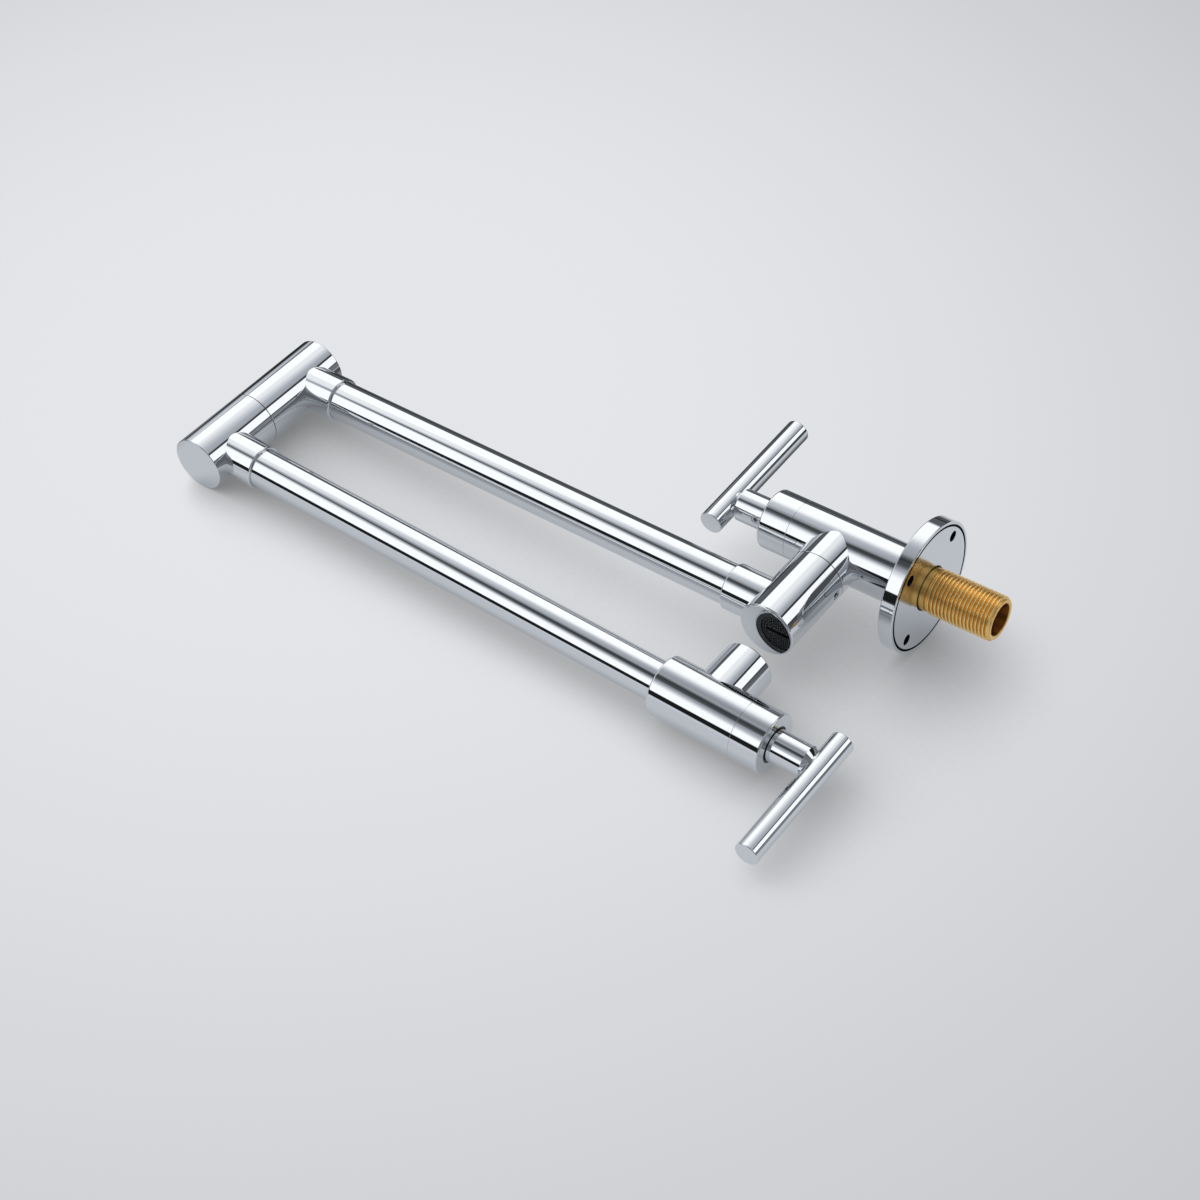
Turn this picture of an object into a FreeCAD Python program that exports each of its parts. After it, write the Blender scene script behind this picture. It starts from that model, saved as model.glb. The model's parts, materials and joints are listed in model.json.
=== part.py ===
import FreeCAD, Part
import math
import os

os.makedirs("parts", exist_ok=True)
V = FreeCAD.Vector

# A folding pot filler tap for a kitchen wall, in millimetres.
# The origin is on the inlet's axis, in the plane of the wall. +Y runs into the wall and +Z is up.
# The arms lie as in the photo: folded, straight out from the wall, the outer arm over the inner.

# Outer sizes that the photo shows
VALVE_D = 28.0          # both valve bodies and their collars
SWIVEL_D = 27.0         # branch, sleeve and elbow
TUBE_D = 19.05          # arm tube, three quarter inch stock
TUBE_WALL = 1.2
SOCKET_WALL = 1.225     # short socket that takes the tube's end
SOCKET_REACH = 27.0     # from a swivel's axis to its socket's mouth
SPOUT_D = 24.6
SPOUT_DROP = 30.2       # from the valve's axis to the spout's rim
HUB_D = 15.2
BAR_D = 11.2
BAR_SHORT = 17.5        # bar's short end, from the handle's axis
BAR_LONG = 53.4
BAR_OUT = 22.3          # from the collar's face to the bar's axis
COLLAR_L = 14.4
COVER_D = 62.5
COVER_H = 7.0

# Rounded edges that catch the light
VALVE_ROUND = 0.9
SOCKET_ROUND = 0.8
SPOUT_ROUND = 0.6
BASE_CAP_ROUND = 1.0
ELBOW_CAP_ROUND = 0.4
BAR_ROUND = 0.4
COVER_ROUND = 0.6
EDGE = 0.4              # broken edge of any other turned piece
SEAM_EDGE = 0.08        # broken edge at each side of a seam

# Where things stand, out from the wall and along the arms
SWIVEL_OUT = 44.6       # base swivel's axis
ARM_REACH = 280.3       # swivel axis to swivel axis
SPOUT_REACH = 279.2     # elbow axis to spout axis
INLET_SEAM_PAST = 22.2  # where the inlet valve's collar starts, past the swivel's axis
OUTLET_SEAM_PAST = 19.5  # the same for the outlet valve, past the spout's axis
OUTLET_REAR_BACK = 23.0  # flat end that the outer tube enters, before the spout's axis
INNER_ARM_TURN = -0.4   # degrees about +Z from straight out of the wall
OUTER_ARM_TURN = -3.0   # degrees about +Z from straight back over the inner arm
INLET_HANDLE_LEAN = -2.8
OUTLET_HANDLE_LEAN = 1.6

# Heights, from the inlet's axis up
BRANCH_TOP = 20.8
ARM_OVER_BRANCH = 25.0
CAP_OVER_ARM = 14.5
ELBOW_UNDER_ARM = 14.9
SEAM_OVER_ARM = 32.7
ARM_OVER_SEAM = 23.3
ELBOW_OVER_ARM = 16.3

# Wall end
PLATE_T = 3.0
PLATE_HOLE_GAP = 0.3    # round the nipple
SCREW_INSET = 4.3       # from the plate's edge to a screw's axis
SCREW_HOLE_D = 5.2
SCREW_HEAD_D = 9.4
SCREW_COUNT = 4
SCREW_TURN = 47.0
COVER_WALL = 1.5
COVER_GAP = 0.95
COVER_LIP_ROUND = 0.4   # outer edge of its open rim
COVER_NECK_GAP = 0.15
COVER_RING_SECTION = 1.6
COVER_RING_GAP = 0.1
NIPPLE_D = 20.955       # outside of a G 1/2 pipe thread
NIPPLE_BORE_D = 14.8
NIPPLE_OUT = 35.1       # how far it stands into the wall
NIPPLE_IN = 14.0        # how far it is screwed into the body
NIPPLE_CHAMFER = 1.2
NIPPLE_BAND_DEPTH = 0.4775  # plain band between its two threads
NIPPLE_BAND_OUT = 2.8   # where the free thread starts, from the wall plane
GASKET_T = 0.9
GASKET_BACK = 0.4       # gasket's bore, back from the nipple's

# Fits and small gaps
FIT = 0.05              # radial clearance of pieces that go together or run on each other
LOOSE_FIT = 0.1         # radial clearance of pieces that lie in place
FACE_GAP = 0.02         # between flat faces that slide
THREAD_RUNOUT = 0.4     # threaded socket past the thread's end
OVER = 1.0              # how far a cutting tool stands past a face
NEAR = 0.0001           # heights closer than this are the same

# Waterways
WATERWAY_D = 13.0
SEAT_HOLE_D = 11.0
SEAT_LAND = 2.2
PORT_D = 12.0
TUBE_SEAT = 12.0        # tube's end, from a swivel's axis
TUBE_END_GAP = 0.2
OUTLET_TUBE_STOP = 0.3  # between the outer tube's socket and the valve seat

# Swivel: a hollow post with two seal rings, and a sleeve that turns on it
POST_D = 17.0
POST_THREAD_STEP = 0.5
POST_THREAD_L = 8.5
POST_L = 13.6
POST_BORE_D = 10.0
POST_CATCH = 5.0        # middle of the groove that the locking screw runs in
POST_CATCH_W = 4.0
POST_CATCH_DEPTH = 1.5
SEAL_SECTION = 1.8
SEAL_SLOT = 2.0
SEAL_PITCH = 2.8
SEAL_END_WALL = 0.6
SEAL_COUNT = 2
SWIVEL_WASHER_T = 0.3
SWIVEL_WASHER_IN = 0.35  # how far its edge lies inside the seam
CAP_T = 4.4
CHAMBER_D = 14.0
CHAMBER_UNDER = 0.4     # chamber's floor, under the arm's waterway
LOCK_SCREW_D = 4.0
LOCK_TIP_D = 3.0
LOCK_TIP_L = 0.4
LOCK_KEY = 2.0          # across the flats of the screw's socket
LOCK_SUNK = 0.6
HUB_SCREW_SUNK = 0.3

# Quarter-turn cartridge, measured from the seam between valve body and collar
SEAT_DEPTH = 31.0
COLLAR_WALL = 1.75
COLLAR_THREAD_L = 4.0
COLLAR_END_WALL = 4.0
CAVITY_D = 19.0
HOUSING_THREAD_STEP = 0.95
HOUSING_THREAD_DEPTH = 5.0
HOUSING_THREAD_GAP = 0.4
HEAD_CORNER_GAP = 0.7
HEAD_H = 4.5
LAND_GAP = 0.2
LAND_END = 10.4
BODY_SEAL_AT = 7.7
BARREL_GAP = 0.7
BARREL_WALL = 1.5
SEAT_SEAL_T = 2.2
SEAT_SEAL_PROUD = 1.2
SEAT_SEAL_BACK = 0.2    # seal's hole, out from the ports' edge
DISC_T = 3.0
DISC_GAP = 0.2
DISC_PORT_IN = 1.5
DISC_PORT_EDGE = 1.8    # ceramic left outside a port
DISC_PORT_ANGLE = 76.0
LUG_W = 3.0
LUG_SUNK = 0.6          # lug's and ear's ends, in from the barrel's outside
RUNNER_T = 0.6
STEM_D = 9.8
STEM_FLANGE_GAP = 0.3
STEM_FLANGE_T = 0.8
EAR_W = 3.8
EAR_H = 2.2
TANG_W = 3.0
TANG_L = 11.0
TANG_H = 1.1
STEM_SEALS = (6.0, 2.4)
STEM_SEAL_SECTION = 1.5
TURN = 90.0             # how far the handle turns
STOP_MARGIN = 1.9       # degrees left at each stop
WINDOW_GAP = 0.2
CLIP_T = 0.9
CLIP_W = 1.7
CLIP_DEPTH = 0.8
CLIP_PLAY = 0.05
CLIP_MOUTH_ANGLE = 60.0
CLIP_OVER_HEAD = 0.4
STEM_SHOULDER_H = 0.4
SPLINE_STEP = 1.0
SPLINE_TOOTH_H = 0.45
SPLINE_TOOTH_COUNT = 12
SPLINE_OUT = 11.6       # spline's top, from the collar's face

# Handle
HUB_IN = 3.0            # hub's foot, inside the collar's face
HUB_STRAIGHT = 16.4     # where its cone starts, from the collar's face
HUB_NECK_D = 10.0
BUSH_W = 1.0
BUSH_GAP = 0.1
BUSH_LIP_W = 1.0
BUSH_LIP_T = 0.4
BUSH_SUNK = 0.8
HANDLE_SCREW_OUT = 5.1  # from the collar's face
HANDLE_SCREW_TURN = 18.0
STUD_D = 5.0
STUD_L = 8.5
STUD_ROOT = 5.0
HOLE_SPARE = 0.4        # blind hole past the end of what goes in

# Aerator in the spout
AERATOR_D = 22.8
AERATOR_DEPTH = 14.4    # from the spout's rim
AERATOR_WASHER_T = 1.6
AERATOR_WALL = 2.2
AERATOR_SUNK = 0.3
AERATOR_LEDGE = 1.0
STRAIGHTENER_T = 5.0
STRAIGHTENER_HOLE_D = 2.6
STRAIGHTENER_HOLE_COUNT = 8
STRAIGHTENER_RING_R = 6.2
GRILLE_T = 1.8
GRILLE_SUNK = 0.3
GRILLE_HOLE_D = 1.5
GRILLE_RING_COUNT = 3
GRILLE_RING_STEP = 2.5
COIN_SLOT_W = 2.0
COIN_SLOT_L = 13.0
COIN_SLOT_DEPTH = 1.1

# What follows from these
inlet_seam = SWIVEL_OUT + INLET_SEAM_PAST
outlet_seam = SPOUT_REACH + OUTLET_SEAM_PAST
outlet_rear = SPOUT_REACH - OUTLET_REAR_BACK
inner_arm_z = BRANCH_TOP + ARM_OVER_BRANCH
elbow_seam = inner_arm_z + SEAM_OVER_ARM
outer_arm_z = elbow_seam + ARM_OVER_SEAM
socket_d = TUBE_D + 2 * FIT + 2 * SOCKET_WALL
plate_d = COVER_D - 2 * COVER_WALL - 2 * COVER_GAP
cover_room = COVER_RING_SECTION + 2 * COVER_RING_GAP
post_thread_d = POST_D - 2 * POST_THREAD_STEP
collar_thread_d = VALVE_D - 2 * COLLAR_WALL - 2 * FIT
housing_thread_d = CAVITY_D + 2 * HOUSING_THREAD_STEP
barrel_d = CAVITY_D - 2 * BARREL_GAP
barrel_bore_d = barrel_d - 2 * BARREL_WALL
disc_port_out = barrel_bore_d / 2 - DISC_PORT_EDGE
stop_radius = barrel_d / 2 - LUG_SUNK
disc_foot = -SEAT_DEPTH + SEAT_SEAL_T
disc_seam = disc_foot + DISC_T
stem_foot = disc_seam + FACE_GAP + DISC_T
flange_top = stem_foot + EAR_H + STEM_FLANGE_T
barrel_shoulder = flange_top + FACE_GAP + RUNNER_T
head_top = COLLAR_THREAD_L + HEAD_H
clip_foot = head_top + CLIP_OVER_HEAD
stem_shoulder = clip_foot + CLIP_T + STEM_SHOULDER_H
spline_d = STEM_D - 2 * SPLINE_STEP
clip_groove_d = STEM_D - 2 * CLIP_DEPTH
collar_hole_d = HUB_D + 2 * BUSH_W
collar_inside = COLLAR_L - COLLAR_END_WALL
bar_axis = COLLAR_L + BAR_OUT
aerator_top = SPOUT_DROP - AERATOR_DEPTH
straightener_top = aerator_top + AERATOR_WASHER_T + AERATOR_LEDGE
aerator_inside_d = AERATOR_D - 2 * LOOSE_FIT - 2 * AERATOR_WALL


def rod(diameter, low, high):
    """Round bar about Z from low to high."""
    return Part.makeCylinder(diameter / 2, high - low, V(0, 0, low))


def ring(outer, inner, low, high):
    """Flat-ended ring about Z."""
    return rod(outer, low, high).cut(rod(inner, low - OVER, high + OVER))


def turned(points):
    """Solid turned about Z from (radius, height) points."""
    corners = [V(radius, 0, height) for radius, height in points]
    face = Part.Face(Part.makePolygon(corners + corners[:1]))
    return face.revolve(V(0, 0, 0), V(0, 0, 1), 360)


def seal_ring(outer, section, height):
    """Rubber ring with this outer diameter, its round section pressed flat on four sides."""
    flat = section / (2 + math.sqrt(2))
    rim = outer / 2
    upper = [(rim, flat / 2 ** 0.5), (rim - flat, section / 2), (rim - section + flat, section / 2)]
    upper.append((rim - section, flat / 2 ** 0.5))
    lower = [(radius, -rise) for radius, rise in reversed(upper)]
    return turned([(radius, height + rise) for radius, rise in upper + lower])


def wedge(radius, low, high, middle, width):
    """Slice of a round bar, width degrees wide about the direction middle."""
    piece = Part.makeCylinder(radius, high - low, V(0, 0, low), V(0, 0, 1), width)
    return spun(piece, middle - width / 2)


def block(width, depth, low, high):
    """Upright block centred on Z."""
    return Part.makeBox(width, depth, high - low, V(-width / 2, -depth / 2, low))


def upright(outline, low, high):
    """Bar about Z with this closed outline of (radius, degrees) corners."""
    corners = []
    for radius, degrees in outline:
        angle = math.radians(degrees)
        corners.append(V(radius * math.cos(angle), radius * math.sin(angle), low))
    return Part.Face(Part.makePolygon(corners + corners[:1])).extrude(V(0, 0, high - low))


def hexagon(flats, low, high):
    """Hexagon bar about Z."""
    return upright([(flats / math.sqrt(3), 60 * i) for i in range(6)], low, high)


def splined(outer, low, high):
    """Toothed bar about Z: two corners on each tooth and two in each gap."""
    steps = 4 * SPLINE_TOOTH_COUNT
    root = outer / 2 - SPLINE_TOOTH_H
    outline = [(outer / 2 if i % 4 < 2 else root, 360 * i / steps) for i in range(steps)]
    return upright(outline, low, high)


def spun(shape, degrees):
    """Copy turned about Z."""
    copy = shape.copy()
    copy.rotate(V(0, 0, 0), V(0, 0, 1), degrees)
    return copy


def tipped(shape, degrees):
    """Copy turned about X."""
    copy = shape.copy()
    copy.rotate(V(0, 0, 0), V(1, 0, 0), degrees)
    return copy


def moved(shape, x, y, z):
    """Copy shifted."""
    copy = shape.copy()
    copy.translate(V(x, y, z))
    return copy


def sideways(shape, height):
    """Copy whose own +Z points along +Y, its foot on the Z axis at this height."""
    return moved(tipped(shape, -90), 0, 0, height)


def rounded_end(shape, height, radius):
    """Rounds the outer edge of the end face at this height."""
    level = [e for e in shape.Edges if e.Closed and abs(e.BoundBox.ZMin - height) < NEAR]
    ends = [e for e in level if abs(e.BoundBox.ZMax - height) < NEAR]
    return shape.makeFillet(radius, [max(ends, key=lambda e: e.BoundBox.XLength)])


def at_once(shapes):
    """Several separate solids in one shape."""
    return Part.makeCompound(shapes)


def one_solid(shape):
    """The single solid that the cuts and joins leave."""
    clean = shape.removeSplitter()
    return clean.Solids[0] if len(clean.Solids) == 1 else clean


# Wall end

def wall_plate():
    """Round plate with countersunk screw holes and a hole for the nipple."""
    plate = ring(plate_d, NIPPLE_D + 2 * PLATE_HOLE_GAP, 0, PLATE_T)
    hole = SCREW_HOLE_D / 2
    head = SCREW_HEAD_D / 2
    sink = PLATE_T - head + hole
    top = PLATE_T + OVER
    screw = turned([(0, -OVER), (hole, -OVER), (hole, sink), (head, PLATE_T), (head, top), (0, top)])
    screw = moved(screw, plate_d / 2 - SCREW_INSET, 0, 0)
    for i in range(SCREW_COUNT):
        plate = plate.cut(spun(screw, SCREW_TURN + 360 / SCREW_COUNT * i))
    return one_solid(plate)


def wall_cover():
    """Shallow cup over the plate, with a neck that fits round the valve body."""
    inner = COVER_D / 2 - COVER_WALL
    back = PLATE_T + cover_room
    cup = rounded_end(rod(COVER_D, 0, COVER_H), COVER_H, COVER_ROUND)
    cup = rounded_end(cup, 0, COVER_LIP_ROUND)
    inside = turned([(0, -OVER), (inner, -OVER), (inner, back), (0, back)])
    return one_solid(cup.cut(inside).cut(rod(VALVE_D + 2 * COVER_NECK_GAP, -OVER, COVER_H + OVER)))


def cover_ring():
    outer = VALVE_D + 2 * FACE_GAP + 2 * COVER_RING_SECTION
    return seal_ring(outer, COVER_RING_SECTION, PLATE_T + cover_room / 2)


def nipple():
    outer = NIPPLE_D / 2
    band = outer - NIPPLE_BAND_DEPTH
    tip = -NIPPLE_OUT
    end = PLATE_T + NIPPLE_IN
    bore = NIPPLE_BORE_D / 2
    free = [(bore, tip), (outer - NIPPLE_CHAMFER, tip), (outer, tip + NIPPLE_CHAMFER)]
    middle = [(outer, -NIPPLE_BAND_OUT), (band, -NIPPLE_BAND_OUT), (band, PLATE_T), (outer, PLATE_T)]
    return turned(free + middle + [(outer, end - EDGE), (outer - EDGE, end), (bore, end)])


def nipple_gasket():
    start = PLATE_T + NIPPLE_IN
    return ring(NIPPLE_D, NIPPLE_BORE_D + 2 * GASKET_BACK, start, start + GASKET_T)


# Valve bodies. Their own +Z points to the handle, +Y to the side port, and 0 is the collar's seam.

def valve_blank(rear):
    """Round body from its rear end to the thread that takes the collar."""
    outer = VALVE_D / 2
    body = turned([(0, rear), (outer, rear), (outer, -SEAM_EDGE), (outer - SEAM_EDGE, 0), (0, 0)])
    return body.fuse(rod(collar_thread_d, -OVER, COLLAR_THREAD_L))


def valve_waterway(rear):
    """Room for the cartridge, the hole in its seat and the feed behind it."""
    top = COLLAR_THREAD_L + OVER
    room = rod(CAVITY_D, -SEAT_DEPTH, top)
    room = room.fuse(rod(housing_thread_d + 2 * FIT, -HOUSING_THREAD_DEPTH, top))
    seat = rod(SEAT_HOLE_D, -SEAT_DEPTH - SEAT_LAND - OVER, -SEAT_DEPTH + OVER)
    feed = rod(WATERWAY_D, rear - OVER, -SEAT_DEPTH - SEAT_LAND)
    return room.fuse(seat).fuse(feed)


def inlet_body():
    """Valve body that the nipple enters, with the side branch that carries the base swivel."""
    rear = PLATE_T - inlet_seam
    outer = SWIVEL_D / 2
    top = BRANCH_TOP
    branch = turned([(0, 0), (outer, 0), (outer, top - SEAM_EDGE), (outer - SEAM_EDGE, top), (0, top)])
    socket_floor = BRANCH_TOP - POST_THREAD_L - THREAD_RUNOUT
    socket = rod(post_thread_d + 2 * FIT, socket_floor, BRANCH_TOP + OVER)
    port = rod(PORT_D, 0, socket_floor + OVER)
    inlet = rod(NIPPLE_D + 2 * FIT, rear - OVER, rear + NIPPLE_IN + GASKET_T)
    body = valve_blank(rear).fuse(sideways(branch, -INLET_SEAM_PAST))
    body = body.cut(valve_waterway(rear)).cut(inlet)
    return one_solid(body.cut(sideways(socket.fuse(port), -INLET_SEAM_PAST)))


def outlet_body():
    """Valve body at the end of the outer arm, with the short spout."""
    rear = outlet_rear - outlet_seam
    spout = rounded_end(rod(SPOUT_D, 0, SPOUT_DROP), SPOUT_DROP, SPOUT_ROUND)
    mouth = rod(AERATOR_D, aerator_top, SPOUT_DROP + OVER)
    port = rod(PORT_D, 0, aerator_top + OVER)
    tube = rod(TUBE_D + 2 * FIT, rear - OVER, -SEAT_DEPTH - SEAT_LAND - OUTLET_TUBE_STOP)
    body = rounded_end(valve_blank(rear), rear, VALVE_ROUND).fuse(sideways(spout, -OUTLET_SEAM_PAST))
    body = body.cut(valve_waterway(rear)).cut(tube)
    return one_solid(body.cut(sideways(mouth.fuse(port), -OUTLET_SEAM_PAST)))


def valve_collar():
    """Screwed cap over the cartridge's head, with a hole for the hub."""
    outer = VALVE_D / 2
    start = SEAM_EDGE / 2
    edge = outer - SEAM_EDGE
    cap = turned([(0, start), (edge, start), (outer, start + SEAM_EDGE), (outer, COLLAR_L), (0, COLLAR_L)])
    cap = rounded_end(cap, COLLAR_L, VALVE_ROUND)
    cap = cap.cut(rod(collar_thread_d + 2 * FIT, -OVER, collar_inside))
    return one_solid(cap.cut(rod(collar_hole_d, 0, COLLAR_L + OVER)))


def handle_bush():
    """Dark ring that keeps the hub in the middle of the collar's hole."""
    outer = collar_hole_d / 2 - FIT
    inner = HUB_D / 2 + BUSH_GAP
    lip = outer + BUSH_LIP_W
    foot = collar_inside - BUSH_LIP_T
    seat = collar_inside - FACE_GAP
    front = COLLAR_L - BUSH_SUNK
    return turned([(inner, foot), (lip, foot), (lip, seat), (outer, seat), (outer, front), (inner, front)])


# Quarter-turn cartridge

def window_span():
    """Directions of a side window's two edges: the ear's quarter turn and a margin at each stop."""
    ear = math.degrees(math.asin(EAR_W / barrel_bore_d))
    return -ear - STOP_MARGIN, TURN + ear + STOP_MARGIN


def cartridge_housing():
    """Threaded head and barrel. Its two windows let the water out and stop the stem's ears."""
    end = -SEAT_DEPTH + SEAT_SEAL_PROUD
    land = rod(CAVITY_D - 2 * LAND_GAP, -LAND_END, 0)
    floor = CAVITY_D - 2 * FIT - 2 * SEAL_SECTION
    slot = ring(CAVITY_D, floor, -BODY_SEAL_AT - SEAL_SLOT / 2, -BODY_SEAL_AT + SEAL_SLOT / 2)
    thread = rod(housing_thread_d, -HOUSING_THREAD_DEPTH + HOUSING_THREAD_GAP, COLLAR_THREAD_L)
    corners = collar_thread_d + 2 * FIT - 2 * HEAD_CORNER_GAP
    head = hexagon(corners * math.sqrt(3) / 2, COLLAR_THREAD_L, head_top)
    shell = rod(barrel_d, end, 0).fuse(land).fuse(thread).fuse(head).cut(slot)
    shell = shell.cut(rod(barrel_bore_d, end - OVER, barrel_shoulder))
    shell = shell.cut(rod(STEM_D + 2 * FIT, end, head_top + OVER))
    first, last = window_span()
    for side in (0, 180):
        middle = side + (first + last) / 2
        window = wedge(barrel_d, disc_seam + WINDOW_GAP, barrel_shoulder - WINDOW_GAP, middle, last - first)
        notch = moved(block(barrel_d, LUG_W + 2 * FIT, end - OVER, disc_seam + FIT), barrel_d / 2, 0, 0)
        shell = shell.cut(window).cut(spun(notch, middle))
    return one_solid(shell)


def body_seal():
    return seal_ring(CAVITY_D - 2 * FIT, SEAL_SECTION, -BODY_SEAL_AT)


def seat_seal():
    """Rubber ring that presses the fixed disc up from the valve seat."""
    hole = 2 * disc_port_out + 2 * SEAT_SEAL_BACK
    return ring(barrel_bore_d - 2 * LOOSE_FIT, hole, -SEAT_DEPTH, disc_foot)


def disc_ports(low, high, towards):
    """The two openings through a ceramic disc."""
    ports = []
    for side in (0, 180):
        port = wedge(disc_port_out, low - OVER, high + OVER, towards + side, DISC_PORT_ANGLE)
        ports.append(port.cut(rod(2 * DISC_PORT_IN, low - 2 * OVER, high + 2 * OVER)))
    return ports


def fixed_disc():
    """Lower ceramic disc, held by two lugs in the housing's notches."""
    first, last = window_span()
    disc = rod(barrel_bore_d - 2 * LOOSE_FIT, disc_foot, disc_seam)
    lugs = block(2 * stop_radius, LUG_W, disc_foot, disc_seam)
    lugs = lugs.common(rod(2 * stop_radius, disc_foot, disc_seam))
    disc = disc.fuse(spun(lugs, (first + last) / 2))
    for port in disc_ports(disc_foot, disc_seam, 0):
        disc = disc.cut(port)
    return one_solid(disc)


def turning_disc():
    """Upper ceramic disc, turned by the stem's tang."""
    low = disc_seam + FACE_GAP
    disc = rod(barrel_bore_d - 2 * DISC_GAP, low, stem_foot)
    for port in disc_ports(low, stem_foot, TURN):
        disc = disc.cut(port)
    slot = block(TANG_L + 2 * LOOSE_FIT, TANG_W + 2 * FIT, stem_foot - TANG_H - FIT, stem_foot + OVER)
    return one_solid(disc.cut(slot))


def runner_washer():
    """Slippery ring between the stem's flange and the housing's shoulder."""
    outer = barrel_bore_d - 2 * LOOSE_FIT
    return ring(outer, STEM_D + 2 * LOOSE_FIT, barrel_shoulder - RUNNER_T, barrel_shoulder)


def stem(lean):
    """Stem with a flange, two ears that meet the stops, a tang for the disc and a spline for the hub."""
    flange_foot = flange_top - STEM_FLANGE_T
    shaft = rod(STEM_D, flange_foot, stem_shoulder)
    for depth in STEM_SEALS:
        seat = STEM_D - 2 * FIT - 2 * STEM_SEAL_SECTION
        shaft = shaft.cut(ring(STEM_D + OVER, seat, -depth - SEAL_SLOT / 2, -depth + SEAL_SLOT / 2))
    shaft = shaft.cut(ring(STEM_D + OVER, clip_groove_d, clip_foot, clip_foot + CLIP_T + CLIP_PLAY))
    flange = rod(barrel_bore_d - 2 * STEM_FLANGE_GAP, flange_foot, flange_top)
    ears = block(2 * stop_radius, EAR_W, stem_foot, flange_top)
    ears = ears.common(rod(2 * stop_radius, stem_foot, flange_top))
    tang = block(TANG_L, TANG_W, stem_foot - TANG_H, stem_foot + TANG_H)
    spline = spun(splined(spline_d, stem_shoulder - STEM_SHOULDER_H, COLLAR_L + SPLINE_OUT), lean)
    return one_solid(shaft.fuse(flange).fuse(ears).fuse(tang).fuse(spline))


def stem_seals():
    return at_once([seal_ring(STEM_D, STEM_SEAL_SECTION, -depth) for depth in STEM_SEALS])


def stem_clip():
    """Open spring ring that keeps the stem in the housing."""
    bore = clip_groove_d + 2 * FIT
    clip = ring(bore + 2 * CLIP_W + 2 * CLIP_DEPTH, bore, clip_foot + CLIP_PLAY / 2, clip_foot + CLIP_T)
    mouth = wedge(STEM_D + 2 * CLIP_W, clip_foot - OVER, clip_foot + CLIP_T + OVER, 0, CLIP_MOUTH_ANGLE)
    return one_solid(clip.cut(mouth))


# Handle

def handle_screw_place(shape, lean):
    """A radial piece set at the hub's locking screw."""
    return spun(moved(tipped(shape, -90), 0, 0, COLLAR_L + HANDLE_SCREW_OUT), lean + HANDLE_SCREW_TURN)


def handle_hub(lean):
    """Hub with a cone and a saddle for the bar, a stud into the bar and a splined hole."""
    outer = HUB_D / 2
    neck = HUB_NECK_D / 2
    foot = COLLAR_L - HUB_IN
    cone = COLLAR_L + HUB_STRAIGHT
    cone_end = cone + outer - neck
    hub = turned([(0, foot), (outer - EDGE, foot), (outer, foot + EDGE), (outer, cone),
                  (neck, cone_end), (neck, bar_axis), (0, bar_axis)])
    saddle = Part.makeCylinder(BAR_D / 2 + FACE_GAP, 2 * HUB_D, V(0, -HUB_D, bar_axis), V(0, 1, 0))
    hub = hub.cut(saddle).fuse(rod(STUD_D, cone_end - STUD_ROOT, bar_axis - BAR_D / 2 + STUD_L))
    hub = hub.cut(splined(spline_d + 2 * FIT, foot - OVER, COLLAR_L + SPLINE_OUT + HOLE_SPARE))
    hub = spun(hub, lean)
    return one_solid(hub.cut(handle_screw_place(rod(LOCK_SCREW_D + 2 * FIT, 0, outer + OVER), lean)))


def handle_bar(lean):
    """Round cross bar, longer on one side."""
    bar = rounded_end(rod(BAR_D, -BAR_LONG, BAR_SHORT), BAR_SHORT, BAR_ROUND)
    bar = sideways(rounded_end(bar, -BAR_LONG, BAR_ROUND), bar_axis)
    hole = rod(STUD_D + 2 * FIT, bar_axis - BAR_D, bar_axis - BAR_D / 2 + STUD_L + HOLE_SPARE)
    return one_solid(spun(bar.cut(hole), lean))


def lock_screw(tip_at, head_at):
    """Headless screw along +Z with a hexagon socket and a plain tip."""
    body = rod(LOCK_SCREW_D, tip_at + LOCK_TIP_L, head_at)
    tip = rod(LOCK_TIP_D, tip_at, tip_at + 2 * LOCK_TIP_L)
    return one_solid(body.fuse(tip).cut(hexagon(LOCK_KEY, head_at - LOCK_KEY, head_at + OVER)))


def handle_screw(lean):
    return handle_screw_place(lock_screw(spline_d / 2 + FACE_GAP, HUB_D / 2 - HUB_SCREW_SUNK), lean)


# Swivels. Their own 0 is the seam between the still half and the turning half.

def post_seal_heights():
    """Middles of the post's seal grooves, the topmost first."""
    return [POST_L - SEAL_END_WALL - SEAL_SLOT / 2 - SEAL_PITCH * i for i in range(SEAL_COUNT)]


def swivel_post():
    """Hollow post, screwed into the still half, with seal grooves and a groove for the locking screw."""
    half = POST_CATCH_W / 2
    floor = POST_D - 2 * POST_CATCH_DEPTH
    post = rod(POST_D, 0, POST_L).fuse(rod(post_thread_d, -POST_THREAD_L, OVER))
    post = post.cut(ring(POST_D + OVER, floor, POST_CATCH - half, POST_CATCH + half))
    floor = POST_D - 2 * SEAL_SECTION
    for height in post_seal_heights():
        post = post.cut(ring(POST_D + OVER, floor, height - SEAL_SLOT / 2, height + SEAL_SLOT / 2))
    return one_solid(post.cut(rod(POST_BORE_D, -POST_THREAD_L - OVER, POST_L + OVER)))


def swivel_seals():
    return at_once([seal_ring(POST_D + FIT, SEAL_SECTION, height) for height in post_seal_heights()])


def swivel_washer():
    return ring(SWIVEL_D - 2 * SWIVEL_WASHER_IN, POST_D + 2 * LOOSE_FIT, 0, SWIVEL_WASHER_T)


def arm_socket(height):
    """Short sideways socket for an arm tube, about this height."""
    return sideways(rounded_end(rod(socket_d, 0, SOCKET_REACH), SOCKET_REACH, SOCKET_ROUND), height)


def arm_bore(height):
    """Where the tube goes in, and the waterway behind it."""
    tube = rod(TUBE_D + 2 * FIT, TUBE_SEAT, SOCKET_REACH + OVER)
    return sideways(tube.fuse(rod(WATERWAY_D, 0, TUBE_SEAT + OVER)), height)


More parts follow.
